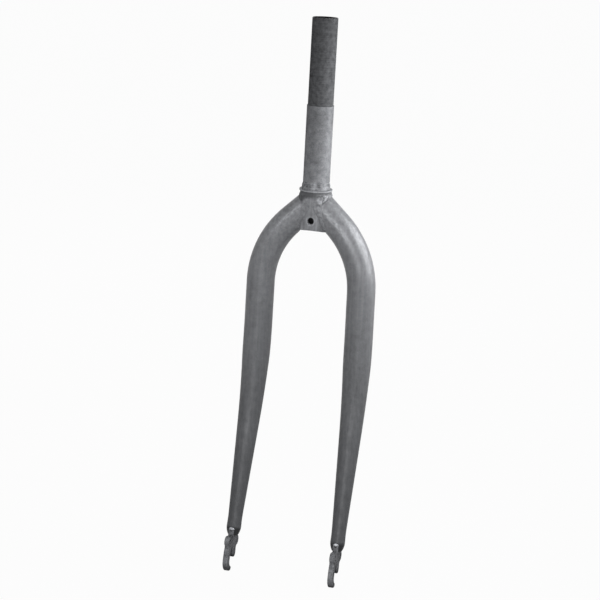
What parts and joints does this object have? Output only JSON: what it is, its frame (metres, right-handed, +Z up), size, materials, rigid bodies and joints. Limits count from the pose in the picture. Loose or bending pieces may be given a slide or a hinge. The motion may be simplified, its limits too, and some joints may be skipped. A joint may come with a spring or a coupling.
{
  "type": "bicycle fork",
  "caption": "Unpainted welded steel bicycle fork: bent, raked and tapered blades on a threaded steerer, with hooked fork ends, mudguard eyelets and a brake bolt hole.",
  "frame": {"origin": "on the steerer's axis, on the top face of the flange that carries the crown race", "axes": "+Z up along the steerer, -Y forward, the way the rake leads, +X to the rider's left"},
  "size_m": [0.1286, 0.0865, 0.5338],
  "materials": {
    "steerer_steel": "turned, bare",
    "blade_steel": "blasted, bare",
    "fork_end_steel": "stamped, bare",
    "weld_steel": "as welded"
  },
  "bodies": {
    "root": {"steerer": "steerer_steel", "left_blade": "blade_steel", "right_blade": "blade_steel", "left_fork_end": "fork_end_steel", "right_fork_end": "fork_end_steel", "left_crown_weld": "weld_steel", "left_front_tip_weld": "weld_steel", "left_rear_tip_weld": "weld_steel", "right_crown_weld": "weld_steel", "right_front_tip_weld": "weld_steel", "right_rear_tip_weld": "weld_steel"}
  },
  "joints": []
}
